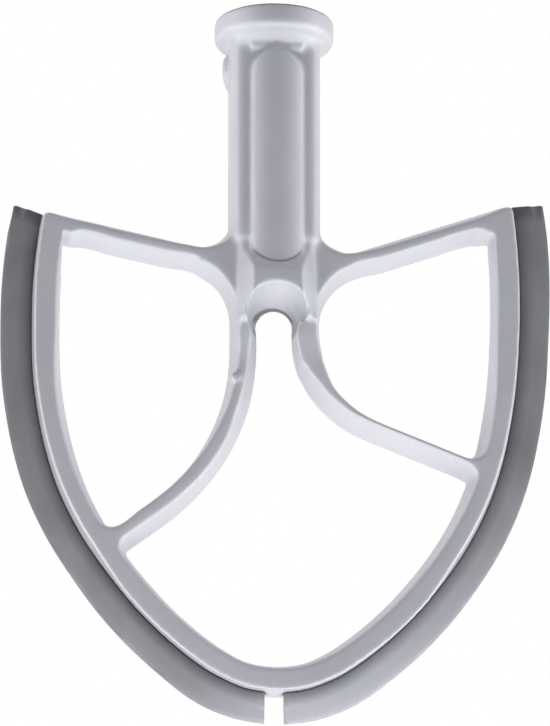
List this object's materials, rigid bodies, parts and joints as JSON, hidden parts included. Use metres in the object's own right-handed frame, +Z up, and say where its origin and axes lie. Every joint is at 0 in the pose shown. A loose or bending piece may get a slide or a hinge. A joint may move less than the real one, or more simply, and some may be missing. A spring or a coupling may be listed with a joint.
{
  "type": "flex edge beater",
  "caption": "Flat beater for a stand mixer: coated cast frame with arms and a bored stem with a bayonet slot, edged by soft wiping blades.",
  "frame": {"origin": "centre of the drive socket's mouth, on the top face of the collar", "axes": "+Z up along the stem, out of the socket; +X across the width; -Y is the front"},
  "size_m": [0.1412, 0.0308, 0.1903],
  "materials": {
    "coated_casting": "satin silver coating, slightly grainy",
    "flex_edge": "matt grey elastomer"
  },
  "bodies": {
    "root": {"beater_body": "coated_casting", "flex_edge_left": "flex_edge", "flex_edge_right": "flex_edge"}
  },
  "joints": []
}
